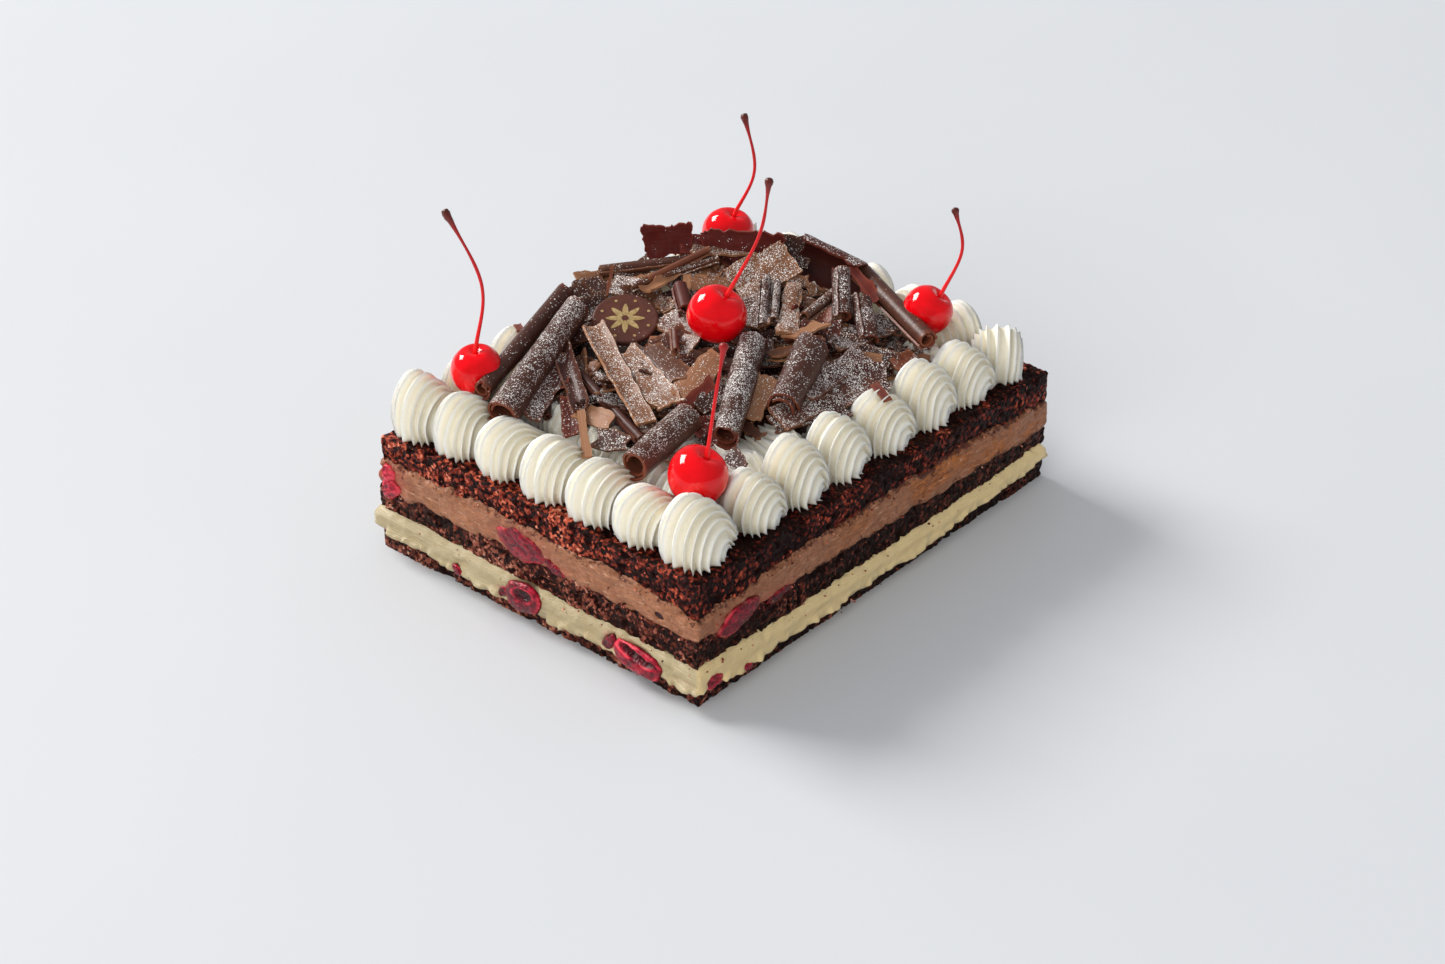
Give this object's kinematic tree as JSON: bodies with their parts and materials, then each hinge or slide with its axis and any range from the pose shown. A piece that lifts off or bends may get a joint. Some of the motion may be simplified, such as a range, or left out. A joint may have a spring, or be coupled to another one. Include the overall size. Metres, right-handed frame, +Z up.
{
  "type": "black forest cake",
  "caption": "Uncut oblong layer cake of chocolate sponge, cream and mousse, with a piped cream border, cocktail cherries and a heap of chocolate shards and rolls.",
  "frame": {"origin": "middle of the flat bottom, centred on the block", "axes": "+X along the long side, +Y along the short side, +Z up out of the top"},
  "size_m": [0.191, 0.1468, 0.1306],
  "materials": {
    "sponge": "open, crumbly dark chocolate sponge, matte",
    "cream": "whipped cream, ivory, soft satin with some light passing through",
    "mousse": "milk chocolate mousse, smeared and slightly moist",
    "cherry": "candied cherry, wet gloss, translucent red",
    "stem": "thin red stem with a brown end, satin",
    "chocolate": "dark chocolate with a satin gloss, dusted with fine white sugar"
  },
  "bodies": {
    "root": {"sponge_bottom": "sponge", "cream_filling": "cream", "sponge_middle": "sponge", "mousse": "mousse", "sponge_top": "sponge", "swirl_01": "cream", "swirl_02": "cream", "swirl_03": "cream", "swirl_04": "cream", "swirl_05": "cream", "swirl_06": "cream", "swirl_07": "cream", "swirl_08": "cream", "swirl_09": "cream", "swirl_10": "cream", "swirl_11": "cream", "swirl_12": "cream", "swirl_13": "cream", "swirl_14": "cream", "swirl_15": "cream", "swirl_16": "cream", "swirl_17": "cream", "swirl_18": "cream", "swirl_19": "cream", "swirl_20": "cream", "swirl_21": "cream", "swirl_22": "cream", "swirl_23": "cream", "swirl_24": "cream", "swirl_25": "cream", "swirl_26": "cream", "cream_bed": "cream", "chocolate_heap": "chocolate", "cherry_front": "cherry", "stem_front": "stem", "cherry_left": "cherry", "stem_left": "stem", "cherry_back": "cherry", "stem_back": "stem", "cherry_right": "cherry", "stem_right": "stem", "cherry_centre": "cherry", "stem_centre": "stem", "plaque": "chocolate", "roll_left_outer": "chocolate", "roll_left_inner": "chocolate", "roll_front": "chocolate", "roll_right": "chocolate", "roll_fat": "chocolate", "roll_sugared": "chocolate", "curl_upper": "chocolate", "curl_lower": "chocolate", "plate_arch": "chocolate", "plate_back_left": "chocolate", "plate_back_right": "chocolate", "plate_light": "chocolate", "strip_long": "chocolate"}
  },
  "joints": []
}
